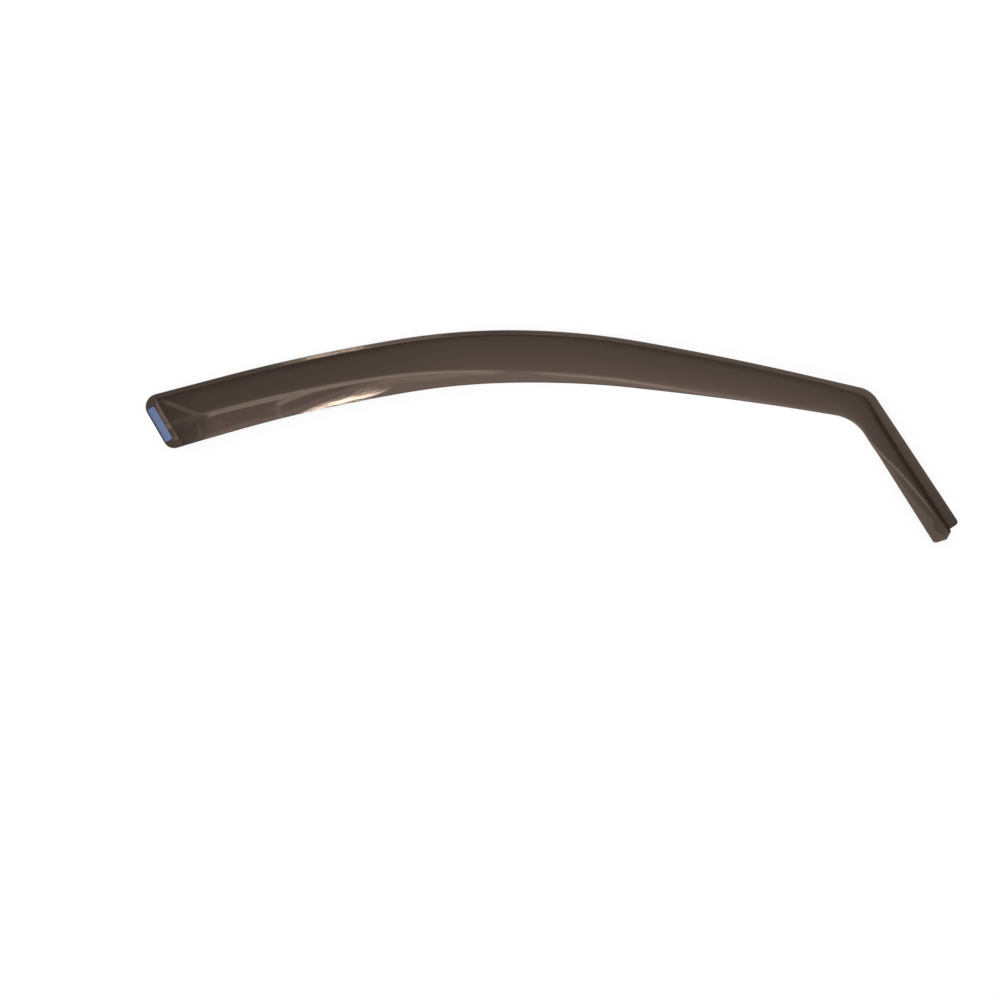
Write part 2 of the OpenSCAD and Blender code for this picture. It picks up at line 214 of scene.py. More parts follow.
# %% [markdown]
# ## The inner corner
# Where the band turns down into the leg, the lower edge is cut as one arc between two straight
# edges. It could be drawn by eye with a curve object. Here the point where both edges would meet
# is worked out first, and the arc starts and ends at one distance from it, because then it
# touches both edges whatever the sizes are.

# %% Corner between the neck and the leg
leg_w, leg_flare, inner_corner_r = 31 * MM, 2.8 * MM, 47 * MM


def dot(a, b):
    """How far b reaches along a, for a direction a."""
    return (np.conj(a) * b).real


def cross(a, b):
    """How far b reaches to the left of a, for a direction a."""
    return (np.conj(a) * b).imag


def angle_between(a, b):
    """The angle between two directions."""
    return np.arccos(np.clip(dot(a, b), -1, 1))


neck_p = lower_edge(neck_s)
neck_dir = neck_p - lower_edge(neck_s - MM)
neck_dir = neck_dir / abs(neck_dir)
leg_p = top_edge(leg_s)[0]
leg_dir = ahead(leg_heading)
leg_in = -1j * leg_dir
inner_leg_p = leg_p + leg_in * leg_w
inner_leg_dir = leg_dir * leg_run + leg_in * leg_flare
inner_leg_dir = inner_leg_dir / abs(inner_leg_dir)
corner_p = neck_p + neck_dir * cross(inner_leg_p - neck_p, inner_leg_dir) / cross(neck_dir, inner_leg_dir)
inner_turn = angle_between(neck_dir, inner_leg_dir)
inner_tangent = inner_corner_r * np.tan(inner_turn / 2)
bay_start = corner_p - neck_dir * inner_tangent
bay_end = corner_p + inner_leg_dir * inner_tangent
neck_l, bay_l = abs(bay_start - neck_p), inner_corner_r * inner_turn
foot_a = dot(bay_end - leg_p, leg_dir)
foot_s = leg_s + foot_a
print("The inner corner turns by", round(np.degrees(inner_turn), 1), "degrees")

# %% [markdown]
# ## Heights across the band
# A maker sets these sizes on the forming tool: how wide the flange is, how high the step, how
# steep the face and the lip. A sculpted surface would hide them. In a formula each one stays a
# number that can be changed. The lip is a little fuller than a plane, as hot acrylic is where
# nothing presses on it, and the curved door glass lifts the front half by a bow.

# %% Sizes of the section
tip_flange_w = 11 * MM
flange_knots = [(neck_s, 4.5 * MM), (foot_s, 9.4 * MM), (tip_s, tip_flange_w)]
step_knots = [(neck_s, 3.5 * MM), (foot_s, 3.6 * MM), (tip_s, 4.6 * MM)]
face_knots = [(neck_s, np.radians(20)), (foot_s, np.radians(25))]
lip_knots = [
    (quarter_s / 2, 25.5 * MM),
    (quarter_s * 1.8, 20.5 * MM),
    (crown_s, 11.5 * MM),
    (front_s, 7.2 * MM),
    (neck_s, 0),
    (mix(foot_s, tip_s, 0.08), 0),
    (mix(foot_s, tip_s, 0.4), 9 * MM),
    (tip_s, 19.2 * MM),
]
lip_slope_knots = [
    (quarter_s, np.radians(9.6)),
    (crown_s, np.radians(20)),
    (neck_s, np.radians(20)),
    (foot_s, np.radians(7)),
]
step_slope, end_slope = np.radians([50, 19])
end_step = 2.2 * MM
crease_soft, step_soft, groove_soft = 1.8 * MM, 2 * MM, 0.6 * MM
end_soft, end_step_soft = 2.4 * MM, 3 * MM
lip_bulge, bulge_w = 0.3 * MM, 12 * MM
print("The step is", round(law(step_knots, neck_s) * 1000, 1), "mm high along the rail")

# %% Bow and heights
bow_h = 6 * MM
BOW_PEAK = 27 / 4


def bow(s):
    """How far the curved glass lifts the front half of the sheet; u * u * (1 - u) peaks at 4 / 27."""
    u = np.maximum(s - crown_s, 0) / (tip_s - crown_s)
    return bow_h * BOW_PEAK * u * u * (1 - u)


def soft_min(a, b, k):
    """The lower of two heights, with a rounding where they differ by less than k."""
    h = np.maximum(k - abs(a - b), 0)
    return np.minimum(a, b) - h * h / (4 * k)


def crease_place(s, w):
    """Distance of the crease from the top edge."""
    return w - np.maximum(law(lip_knots, s), 0)


def rise(d, w, s, e):
    """Height over the flange at distance d from the top edge and e inside the end flange."""
    steep = np.tan(step_slope)
    flange, step, slope = law(flange_knots, s), law(step_knots, s), np.tan(law(face_knots, s))
    top, crease_d = flange + step / steep, crease_place(s, w)
    face = step + (d - top) * slope
    lip = step + (crease_d - top) * slope - (d - crease_d) * np.tan(law(lip_slope_knots, s))
    across_lip = np.clip((d - crease_d) / np.maximum(w - crease_d, MM), 0, 1)
    lip = lip + 4 * lip_bulge * ease((w - crease_d) / bulge_w) * across_lip * (1 - across_lip)
    visor = soft_min(face, lip, crease_soft)
    sided = soft_min((d - flange) * steep, visor, step_soft)
    end_face = end_step + (e - end_step / steep) * np.tan(end_slope)
    ended = soft_min(e * steep, soft_min(sided, end_face, end_soft), end_step_soft)
    return -soft_min(-ended, 0 * ended, groove_soft)


print("The bow is", round(bow(np.linspace(crown_s, tip_s, 200)).max() * 1000, 2), "mm high")

# %% [markdown]
# ## A net of lines across the sheet
# The surface is laid on a net, because a net keeps highlights clean where a boolean or a sculpt
# would leave dents. Its lines are raked at the rear end, turn square to the top edge, fan out
# round the corner and run square down the leg. Each line gets the same number of points, close
# together at the step and at the crease, where the sheet is bent.

# %% Points on a line
rim_gap = 0.65 * MM
bend_gap = 1.0 * MM
crease_gap = 4.0 * MM


def line_places(s, w):
    """Distances from the top edge of the points on a line, one row for each line."""
    flange = law(flange_knots, s)
    bent = flange + law(step_knots, s) / np.tan(step_slope) + bend_gap
    crease = np.clip(crease_place(s, w), bent + 3 * bend_gap, w - rim_gap - 3 * bend_gap)
    above = np.minimum((crease - bent) / 2, crease_gap)
    below = np.minimum((w - rim_gap - crease) / 2, crease_gap)
    stops = [0 * s, 0 * s + rim_gap, flange - bend_gap, flange + bend_gap, bent]
    stops += [crease - above, crease + below, w - rim_gap, w]
    # How many points follow each stop; the bends get the most
    counts = [1, 8, 12, 10, 13, 18, 8, 1]
    parts = [mix(start, end, np.arange(n) / n) for start, end, n in zip(stops, stops[1:], counts)]
    return np.concatenate(parts + [w], axis=1)


def column(values):
    """One value in each row, for a formula that works on all lines at once."""
    return np.asarray(values)[:, None]


print("Each line has", line_places(column([crown_s]), column([crown_h])).shape[1], "points")

# %% [markdown]
# ## The rear end
# The rear end is cut at a rake, with two rounded corners, and keeps a flat flange for the tape.
# A boolean cut would leave ragged triangles there. Here the lines of the net are raked like the
# end edge, and each one starts and ends on the outline. The flat flange needs no lines, so only
# its outline is kept.

# %% Rear end
rear_rake = np.radians(74.5)
rear_top_r, rear_low_r, end_flange_w = 13.6 * MM, 11.5 * MM, 15.5 * MM
end_heading = start_heading - rear_rake
end_dir = ahead(end_heading)
end_in = 1j * end_dir
rail_dir, rail_in = ahead(start_heading), -1j * ahead(start_heading)


def low_s(q):
    """Path length whose lower edge point lies at distance q from the end edge, found in four rounds."""
    s = np.zeros_like(q)
    for _ in range(4):
        s = (q + band_height(s) * np.cos(rear_rake)) / np.sin(rear_rake)
    return s


low_corner = lower_edge(low_s(np.zeros(1)))[0]
low_dir = lower_edge(low_s(np.full(1, MM)))[0] - low_corner
low_angle = angle_between(-end_dir, low_dir / abs(low_dir))
top_centre = end_dir * rear_top_r / np.tan(rear_rake / 2) + end_in * rear_top_r
low_centre = low_corner - end_dir * rear_low_r / np.tan(low_angle / 2) + end_in * rear_low_r


def on_round(centre, radius, q, side):
    """Point of a rounded rear corner at distance q from the end edge."""
    a = np.arccos(1 - np.minimum(q / radius, 2))
    return centre - end_in * radius * np.cos(a) + end_dir * radius * np.sin(a) * side


def rear_ends(q):
    """Both ends of the line across the sheet at distance q from the end edge."""
    top_round, low_round = rear_top_r * (1 + np.cos(rear_rake)), rear_low_r * (1 + np.cos(low_angle))
    top = np.where(q < top_round, on_round(top_centre, rear_top_r, q, -1), rail_dir * q / np.sin(rear_rake))
    low = np.where(q < low_round, on_round(low_centre, rear_low_r, q, 1), lower_edge(low_s(q)))
    return top, low


print("The lower rear corner turns by", round(180 - np.degrees(low_angle), 1), "degrees")

# %% Collecting the lines
plans, places, line_s, line_w = [], [], [], []


def add_lines(top, low, s, w):
    """Adds straight lines to the net, from their ends, their place along the sheet and band height."""
    top, low, s, w = column(top), column(low), column(s), column(w)
    d = line_places(s, w)
    plans.append(mix(top, low, d / w))
    places.append(d)
    line_s.append(s)
    line_w.append(w)


# %% Lines of the rear end
rear_zone = 58 * MM
flat_zone = end_flange_w - bend_gap
REAR_LINES = 72
rear_q = np.linspace(flat_zone, rear_zone, REAR_LINES)
rear_top, rear_low = rear_ends(rear_q)
add_lines(rear_top, rear_low, dot(rail_dir, rear_top), dot(rail_in, rear_low - rear_top))
places[0] = places[0] + dot(rail_in, plans[0][:, :1])
line_w[0] = line_w[0] + dot(rail_in, plans[0][:, :1])
print("Rear end:", len(rear_q), "lines, the last one", round(rear_zone * 1000), "mm from the end edge")


# %% Outline of the flat rear flange
def along_path(path, shares):
    """Points at shares of the length of a path of points."""
    length = np.concatenate([[0], np.cumsum(abs(np.diff(path)))])
    at = shares * length[-1]
    return np.interp(at, length, path.real) + 1j * np.interp(at, length, path.imag)


REAR_POINTS = 96
close_q = flat_zone * np.linspace(0, 1, 400) ** 2
top_side, low_side = rear_ends(close_q)
round_the_end = np.concatenate([low_side[::-1], top_side])
rear_outline = along_path(round_the_end, np.linspace(0, 1, REAR_POINTS + 2))[1:-1]
print("Rear flange: flat, with", REAR_POINTS, "points round it")

# %% [markdown]
# ## Rail and corner
# The rail is the long part of the band, from the rear end to the corner, where it turns down into
# the leg. Lines that stayed raked would run askew over the crease and bend its highlight. So they
# turn to square along the rail, and at the corner their lower ends go round the inner arc while
# their upper ends go round the outer one.

# %% Rail and corner
RAIL_LINES, CORNER_LINES = 190, 64
skew_s = rear_zone / np.sin(rear_rake)
skew = low_s(np.full(1, rear_zone))[0] - skew_s
rail_s = np.linspace(skew_s, neck_s, RAIL_LINES)[1:]
rail_top, rail_heading = top_edge(rail_s)
rail_low = lower_edge(rail_s + skew * (1 - ease((rail_s - skew_s) / rear_run)))
add_lines(rail_top, rail_low, rail_s, dot(-1j * ahead(rail_heading), rail_low - rail_top))


def bay_edge(v):
    """Lower edge from the neck round the inner corner."""
    bend = walk(bay_start, np.angle(neck_dir), np.maximum(v - neck_l, 0), -1 / inner_corner_r)
    return np.where(v < neck_l, neck_p + neck_dir * v, bend)


bend_s = np.linspace(neck_s, foot_s, CORNER_LINES)[1:]
bend_top = top_edge(bend_s)[0]
bend_low = bay_edge((neck_l + bay_l) * (bend_s - neck_s) / (foot_s - neck_s))
add_lines(bend_top, bend_low, bend_s, abs(bend_low - bend_top))
print("Rail and corner:", len(rail_s) + len(bend_s), "lines")

# %% [markdown]
# ## The leg's tip
# The flange ends first, with a rounded corner, and the visor reaches past it behind a small
# notch. It would be slow work to cut this out of a finished mesh. It is easier to push the points
# of the last lines along the leg, by a reach that depends on their distance from its outer edge.

# %% Helpers for the tip
tip_zone = 14 * MM
flange_tip_r, notch_lean, notch_slope = 4 * MM, 0.9 * MM, 1.5
tip_reach, tip_peak, tip_cut = 7.1 * MM, 20.6 * MM, 2 * MM
tip_bevel_out, tip_bevel_in = np.radians([26.5, 16])


def tip_reach_at(d, w, before_end):
    """How far past the flange's end the visor's tip reaches."""
    bevel = np.maximum((tip_peak - d) * np.tan(tip_bevel_out), (d - tip_peak) * np.tan(tip_bevel_in))
    cut = np.maximum(d - (w - tip_cut), 0)
    lean = notch_lean + notch_slope * before_end
    return (tip_reach - bevel - cut) * np.clip((d - tip_flange_w) / lean, 0, 1)


def round_corner(a, d):
    """Moves the points near the flange's outer corner inside its rounding."""
    x = np.clip(1 - (leg_run - a) / flange_tip_r, 0, 1)
    y = np.clip(1 - d / flange_tip_r, 0, 1)
    inside = x * y > 0
    shrink = np.where(inside, np.maximum(x, y) / np.maximum(np.hypot(x, y), 1e-9), 1)
    rounded_a = leg_run - flange_tip_r * (1 - x * shrink)
    rounded_d = flange_tip_r * (1 - y * shrink)
    return np.where(inside, rounded_a, a), np.where(inside, rounded_d, d)


print("The visor's tip reaches up to", round(tip_reach * 1000, 1), "mm past the flange")

# %% Leg and tip
LEG_LINES, TIP_LINES = 36, 20
leg_part = np.linspace(foot_a, leg_run - tip_zone, LEG_LINES)[1:]
tip_part = np.append(np.linspace(leg_run - tip_zone, leg_run - rim_gap, TIP_LINES)[1:], leg_run)
down_leg = column(np.concatenate([leg_part, tip_part]))
leg_width = leg_w + leg_flare * down_leg / leg_run
from_edge = line_places(leg_s + down_leg, leg_width)
before_end = leg_run - down_leg
share = np.maximum(1 - before_end / tip_zone, 0)
rounded_down, rounded_from = round_corner(down_leg, from_edge)
reach = tip_reach_at(from_edge, leg_width, before_end) * share
plans.append(leg_p + leg_dir * (rounded_down + reach) + leg_in * rounded_from)
places.append(rounded_from)
line_s.append(leg_s + down_leg)
line_w.append(leg_width)
print("Leg:", len(down_leg), "lines")

# %% [markdown]
# ## The two skins
# Each point of the net is lifted to the height of its section. The inner skin is the outer one
# moved inwards, square to the surface, by the sheet's thickness. A solidify modifier could move
# it, but with one thickness all over. Hot acrylic stretches over the tool's crease and is thinner
# there. The thin stretch lets more light through, so the crease is painted paler than its faces,
# partly for the thinner plastic and partly as a painted highlight along the crease. The solid
# model is made with fewer lines, so its box differs by a hair. The net is fitted to just inside
# that box.

# %% Outer skin
sheet_t = 3 * MM
INSIDE_BOX = 0.9999
plan, places = np.concatenate(plans), np.concatenate(places)
line_s, line_w = np.concatenate(line_s), np.concatenate(line_w)
heights = sheet_t + bow(line_s) + rise(places, line_w, line_s, dot(end_in, plan) - end_flange_w)
every = np.concatenate([plan.ravel(), rear_outline])
middle = (every.real.min() + every.real.max()) / 2 + 1j * (every.imag.min() + every.imag.max()) / 2
plan, rear_outline = plan - middle, rear_outline - middle
widest, deepest = abs((every - middle).real).max(), abs((every - middle).imag).max()
fit_x, fit_y = INSIDE_BOX * cad_box[1][0] / widest, INSIDE_BOX * cad_box[1][1] / deepest
plan, rear_outline = (p.real * fit_x + 1j * p.imag * fit_y for p in (plan, rear_outline))
outer = np.stack([plan.real, plan.imag, heights], axis=2)
print("Net:", outer.shape[0], "lines of", outer.shape[1], "points")
print("Fitted to the box by", round(fit_x, 5), "along and", round(fit_y, 5), "across")


# %% Inner skin
def unit(vectors):
    """Vectors scaled to a length of one."""
    return vectors / np.linalg.norm(vectors, axis=-1, keepdims=True)


def tangents(lines):
    """Directions along each row of points, in which the nearer neighbour counts more."""
    steps = np.diff(lines, axis=1)
    length = np.linalg.norm(steps, axis=-1, keepdims=True)
    ahead_of = steps / length
    inside = unit(ahead_of[:, :-1] * length[:, 1:] + ahead_of[:, 1:] * length[:, :-1])
    first, last = 2 * ahead_of[:, :1] - inside[:, :1], 2 * ahead_of[:, -1:] - inside[:, -1:]
    return unit(np.concatenate([first, inside, last], axis=1))


def near(distance, reach):
    """A share that is 1 at distance 0 and fades out beyond its reach."""
    return np.exp(-((distance / reach) ** 2))


stretch_w, most_stretch = 3 * MM, 0.55 * MM
stretched = most_stretch * near(places - crease_place(line_s, line_w), stretch_w)
over, along = tangents(outer), tangents(outer.swapaxes(0, 1)).swapaxes(0, 1)
normals = unit(np.cross(over, along))
inner = outer - normals * (sheet_t - stretched)[..., None]
inner[..., 2] = np.maximum(inner[..., 2], 0)
thinnest = (sheet_t - stretched.max()) * 1000
print("Thickness:", round(sheet_t * 1000, 2), "mm, and", round(thinnest, 2), "mm at the crease")

# %% [markdown]
# ## Polished edges
# After trimming, the cut edge is scraped and flame-polished, so it has no sharp corner and
# catches a thin line of light. A bevel modifier would trip over the close points at the leg's
# notch. So the skins end a little inside the outline, and a band of points round the whole rim
# carries the rounding from one skin to the other.

# %% Way round the rim
edge_round = 0.45 * MM
rows, cols = heights.shape
ring = [(i, 0) for i in range(rows)] + [(rows - 1, j) for j in range(1, cols)]
ring += [(i, cols - 1) for i in range(rows - 2, -1, -1)]
ring_i, ring_j = np.array(ring).T
outline = np.concatenate([plan[ring_i, ring_j], rear_outline])
edges = np.roll(outline, -1) - outline
ring_s = np.concatenate([[0], np.cumsum(abs(edges))])
print("The rim is", round(ring_s[-1] * 1000), "mm long, with", len(outline), "points")

# %% Outward directions, smoothed where the rim has corners
SMOOTH_MM = 0.6
smoothed = np.zeros(len(outline), complex)
for step in np.linspace(-SMOOTH_MM, SMOOTH_MM, 13) * MM:
    edge_at = np.searchsorted(ring_s, (ring_s[:-1] + step) % ring_s[-1], side="right") - 1
    smoothed += 1j * edges[edge_at] / abs(edges[edge_at])
rear_flat = np.tile([0.0, 0.0, 1.0], (REAR_POINTS, 1))
ring_up = np.concatenate([normals[ring_i, ring_j], rear_flat])
ring_out = np.stack([smoothed.real, smoothed.imag, 0 * smoothed.real], axis=1)
ring_out = unit(ring_out - ring_up * (ring_out * ring_up).sum(axis=1, keepdims=True))
print("Outward directions:", len(ring_out), "smoothed over", SMOOTH_MM, "mm to each side")

# %% Rounded bands
quarter = np.radians([0, 22.5, 45, 67.5, 90])
rear_low = np.stack([rear_outline.real, rear_outline.imag, 0 * rear_outline.real], axis=1)
outer_rim = np.concatenate([outer[ring_i, ring_j], rear_low + sheet_t * rear_flat])
inner_rim = np.concatenate([inner[ring_i, ring_j], rear_low])
inside_i, inside_j = np.clip(ring_i, 0, rows - 2), np.clip(ring_j, 1, cols - 2)
outer_step = np.linalg.norm(outer[inside_i, inside_j] - outer[ring_i, ring_j], axis=1)
inner_step = np.linalg.norm(inner[inside_i, inside_j] - inner[ring_i, ring_j], axis=1)
squeeze = column(np.concatenate([np.minimum(inner_step / outer_step, 1), np.ones(REAR_POINTS)]))
bands = [
    outer_rim - edge_round * ((1 - np.sin(a)) * ring_out + (1 - np.cos(a)) * ring_up) for a in quarter
]
bands += [
    inner_rim - edge_round * ((1 - np.sin(a)) * squeeze * ring_out - (1 - np.cos(a)) * ring_up)
    for a in quarter[::-1]
]
band_normals = [np.sin(a) * ring_out + np.cos(a) * ring_up for a in quarter]
band_normals += [np.sin(a) * ring_out - np.cos(a) * ring_up for a in quarter[::-1]]
flat_rings = [(rim - rim_gap * ring_out)[-REAR_POINTS:] for rim in (outer_rim, inner_rim)]
outer[ring_i, ring_j], inner[ring_i, ring_j] = bands[0][: len(ring)], bands[-1][: len(ring)]
print("Rim:", len(bands), "rings of", len(outline), "points")

# %% [markdown]
# ## One closed mesh
# The deflector is a single formed sheet, so it is one mesh, closed all round. A modifier could
# thicken one skin, but it could tangle the rim at the leg's notch. So the rows of points are sewn
# together here: the two skins, the bands between them and the flat rear flange. A polished sheet
# shows every small error in its highlights, so each point gets the direction that was worked out
# from its lines, instead of one averaged from the faces round it.

# %% Mesh helpers
def make_piece(name, points, faces):
    """A new object from points and faces."""
    mesh = bpy.data.meshes.new(name)
    mesh.from_pydata(np.asarray(points).tolist(), [], faces)
    mesh.shade_smooth()
    piece = bpy.data.objects.new(name, mesh)
    bpy.context.scene.collection.objects.link(piece)
    return piece


def quads(a, b):
    """Quads between two rows of point numbers."""
    return np.stack([a[:-1], b[:-1], b[1:], a[1:]], axis=-1).reshape(-1, 4).tolist()


def numbered(start, count):
    """Point numbers in a row."""
    return start + np.arange(count)


# %% Point numbers
up = np.arange(rows * cols).reshape(rows, cols)
down = up + rows * cols
band_start = 2 * rows * cols
band_rows = [numbered(band_start + k * len(outline), len(outline)) for k in range(len(bands))]
band_rows[0][: len(ring)], band_rows[-1][: len(ring)] = up[ring_i, ring_j], down[ring_i, ring_j]
flat_start = band_start + len(bands) * len(outline)
flat_rows = [numbered(flat_start, REAR_POINTS), numbered(flat_start + REAR_POINTS, REAR_POINTS)]
print("Points:", flat_start + 2 * REAR_POINTS)

# %% Faces of the sheet
faces = []
for j in range(cols - 1):
    faces += quads(up[:, j], up[:, j + 1]) + quads(down[:, j + 1], down[:, j])
for a, b in zip(band_rows, band_rows[1:]):
    faces += quads(np.append(b, b[0]), np.append(a, a[0]))
rear_sides = ((up, band_rows[0], flat_rows[0], 1), (down, band_rows[-1], flat_rows[1], -1))
for skin, band, flat_row, turned in rear_sides:
    rim_row = np.concatenate([[skin[0, -1]], band[len(ring):], [skin[0, 0]]])
    inside = np.concatenate([[skin[0, -2]], flat_row, [skin[0, 1]]])
    faces += quads(rim_row, inside) if turned == 1 else quads(inside, rim_row)
    fill = np.concatenate([inside, skin[0, 2:-2]]).tolist()
    faces.append(fill[::-turned])
skins = [outer.reshape(-1, 3), inner.reshape(-1, 3)]
shell = make_piece("smoked_shell", np.concatenate(skins + bands + flat_rings), faces)
skin_normals = [normals.reshape(-1, 3), -normals.reshape(-1, 3)]
all_normals = np.concatenate(skin_normals + band_normals + [rear_flat, -rear_flat])
shell.data.normals_split_custom_set_from_vertices(all_normals.tolist())
print("The sheet has", len(shell.data.polygons), "faces")
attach(shell, "root")
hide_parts("deflector_shell")

# %% [markdown]
# ## Smoked acrylic
# The plastic is tinted all through: light that crosses 3 mm of it comes out brown and weak. A
# volume would show this too, but it makes a grainy picture, because few rays find the reflection
# of the studio in so dark a sheet. So the tint is on the skins. Each point of the sheet stores
# how long the way of light from straight above through it is, and a longer way is painted darker.
# This is painted shade: the steep step gets darker. The crease is painted paler, partly for the
# thinner stretched plastic and partly as a painted highlight. A painted shade darkens the groove
# beside the flange into a dark line, most along the leg. Faint stripes parallel to the end edge
# are painted on the end's closing face. The roughness changes slightly from place to place,
# because the sheet has been handled and wiped.

# %% Material helpers
def new_material(name):
    """An empty material with its node tree, its links and its output node."""
    material = bpy.data.materials.new(name)
    material.use_nodes = True
    tree = material.node_tree
    tree.nodes.clear()
    return material, tree, tree.nodes.new("ShaderNodeOutputMaterial")


def add_node(tree, kind, settings=None, **inputs):
    """A new node; settings are its own properties, inputs its sockets by name."""
    node = tree.nodes.new(kind)
    for key, value in (settings or {}).items():
        setattr(node, key, value)
    for key, value in inputs.items():
        socket = node.inputs[key.replace("_", " ")]
        if isinstance(value, bpy.types.NodeSocket):
            tree.links.new(value, socket)
        else:
            socket.default_value = value
    return node


def dress(piece, material):
    """Gives a piece one material."""
    piece.data.materials.clear()
    piece.data.materials.append(material)


# %% Way of light through the sheet
ACRYLIC_IOR = 1.49
# How much longer the way of light is made in the groove: painted shade along the rail and the leg
rail_groove_shade, leg_groove_shade, groove_w = 0.03, 0.27, 2.4 * MM
stripe_depth, stripe_w, stripes_at, stripes_reach = 0.05, 2.5 * MM, 21 * MM, 5 * MM


# Painted shade by tilt: a steeper face gets a longer way, so it is painted darker as seen from straight
# above
def way_through(normals, thickness):
    """Way of light from straight above through the sheet, against its flat thickness."""
    sine = np.sqrt(np.maximum(1 - normals[..., 2] ** 2, 0)) / ACRYLIC_IOR
    return thickness / sheet_t / np.sqrt(1 - sine**2)


# Painted shade: the groove beside the flange gets a longer way of light, so it is painted darker
groove_shade_share = mix(rail_groove_shade, leg_groove_shade, ease((line_s - corner_s) / (foot_s - corner_s)))
painted_groove_shade = groove_shade_share * near(places - law(flange_knots, line_s) - groove_w / 2, groove_w)
from_end = dot(end_in, plan + middle)
# Faint stripes parallel to the end edge, painted into the way of light on the end's closing face
end_stripes = np.sin(2 * np.pi * from_end / stripe_w) * near(from_end - stripes_at, stripes_reach)
# The stretched crease gets a shorter way and is painted paler: partly thinner plastic, partly a painted
# highlight
way = way_through(normals, sheet_t - stretched) * (1 + painted_groove_shade + stripe_depth * end_stripes)
print("Way of light:", round(way.min(), 2), "to", round(way.max(), 2), "sheets")

# %% Way of light on the mesh
SHORT_WAY, STEEP_WAY, LONG_WAY = 0.7, 1.3, 1.9
way_at = np.ones(len(shell.data.vertices))
way_at[: 2 * rows * cols] = np.tile(way.ravel(), 2)
for rim_row in band_rows:
    way_at[rim_row[: len(ring)]] = way[ring_i, ring_j]
stored = shell.data.attributes.new("way_of_light", "FLOAT", "POINT")
stored.data.foreach_set("value", (way_at - SHORT_WAY) / (LONG_WAY - SHORT_WAY))
print("Stored as", stored.name, "on", len(way_at), "points")

# %% Acrylic
SMOKE = np.array([0.091, 0.060, 0.046])
MIRROR_TINT = (1, 0.75, 0.60, 1)

smoked, tree, out = new_material("acrylic_sheet")
place = add_node(tree, "ShaderNodeTexCoord").outputs["Object"]
wiped = add_node(tree, "ShaderNodeTexNoise", Vector=place, Scale=14.0, Detail=4.0)
gloss = add_node(tree, "ShaderNodeMapRange", Value=wiped.outputs["Fac"])
gloss.inputs["To Min"].default_value = 0.02
gloss.inputs["To Max"].default_value = 0.08
length = add_node(tree, "ShaderNodeAttribute", {"attribute_name": "way_of_light"})
tint = add_node(tree, "ShaderNodeValToRGB", Fac=length.outputs["Fac"])
# The middle stop is halfway, as STEEP_WAY is between the other two
tint.color_ramp.elements.new(0.5)
for stop, length_of_way in zip(tint.color_ramp.elements, (SHORT_WAY, STEEP_WAY, LONG_WAY)):
    stop.color = (*SMOKE**length_of_way, 1)
surface = add_node(tree, "ShaderNodeBsdfPrincipled", Roughness=gloss.outputs["Result"])
tree.links.new(tint.outputs["Color"], surface.inputs["Base Color"])
surface.inputs["Transmission Weight"].default_value = 1
surface.inputs["IOR"].default_value = ACRYLIC_IOR
surface.inputs["Specular Tint"].default_value = MIRROR_TINT
tree.links.new(surface.outputs["BSDF"], out.inputs["Surface"])
dress(shell, smoked)
print("Smoked acrylic on", shell.name)

# %% [markdown]
# ## Foam tape and its liner
# The tape is closed-cell foam with glue on both faces, slit from a roll, so its sides are cut
# pores. A blue film covers the upper glue until the deflector is fitted. The film is embossed
# with a fine cross-hatch, so that it peels off easily. Both are thin strips with soft corners. A
# flattened, bevelled cube would round all its edges alike. Rings of points stacked on each other
# give a strip wide corners and a finer rounding along its upper edge, and leave its underside
# flat, where it is glued down.

# %% Strips on the rear flange
tape_l, tape_w, tape_t, liner_t = 40.4 * MM, 9.4 * MM, 0.8 * MM, 0.2 * MM
tape_start, tape_inset, liner_border = 14.3 * MM, 1 * MM, 0.6 * MM
liner_low = sheet_t + tape_t


def strip(name, border, low, high, corner, round_over):
    """A flat strip on the end flange, with round corners and a soft upper edge."""
    turn = np.radians(np.linspace(0, 90, 9))
    length, width = tape_l - 2 * border, tape_w - 2 * border
    rings = []
    for inset, z in (
        (0, low), (0, high - round_over), (0.3 * round_over, high - 0.3 * round_over), (round_over, high)
    ):
        r = corner - inset
        corners = [
            complex(x * (length / 2 - corner), y * (width / 2 - corner)) + r * np.exp(1j * (turn + start))
            for x, y, start in ((1, 1, 0), (-1, 1, np.pi / 2), (-1, -1, np.pi), (1, -1, 1.5 * np.pi))
        ]
        local = np.concatenate(corners) + complex(tape_start + tape_l / 2, tape_inset + tape_w / 2)
        place = local * end_dir - middle
        rings.append(np.stack([place.real, place.imag, np.full(len(place), z)], axis=1))
    count = len(rings[0])
    faces = []
    for k in range(len(rings) - 1):
        a, b = numbered(k * count, count), numbered((k + 1) * count, count)
        faces += quads(np.append(b, b[0]), np.append(a, a[0]))
    faces += [numbered(0, count)[::-1].tolist(), numbered((len(rings) - 1) * count, count).tolist()]
    return make_piece(name, np.concatenate(rings), faces)


# %% Tape and liner
tape = strip("foam_strip", 0, sheet_t, liner_low, corner=0.5 * MM, round_over=0.1 * MM)
liner_top = liner_low + liner_t
liner = strip("liner_film", liner_border, liner_low, liner_top, corner=0.8 * MM, round_over=0.06 * MM)
for piece, node, slot_name in (
    (tape, "foam_tape", "black_foam"), (liner, "release_liner", "blue_liner")
):
    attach(piece, "root")
    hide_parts(node)
print("Tape and liner:", [round(v * 1000, 1) for v in (tape_l, tape_w)], "mm")
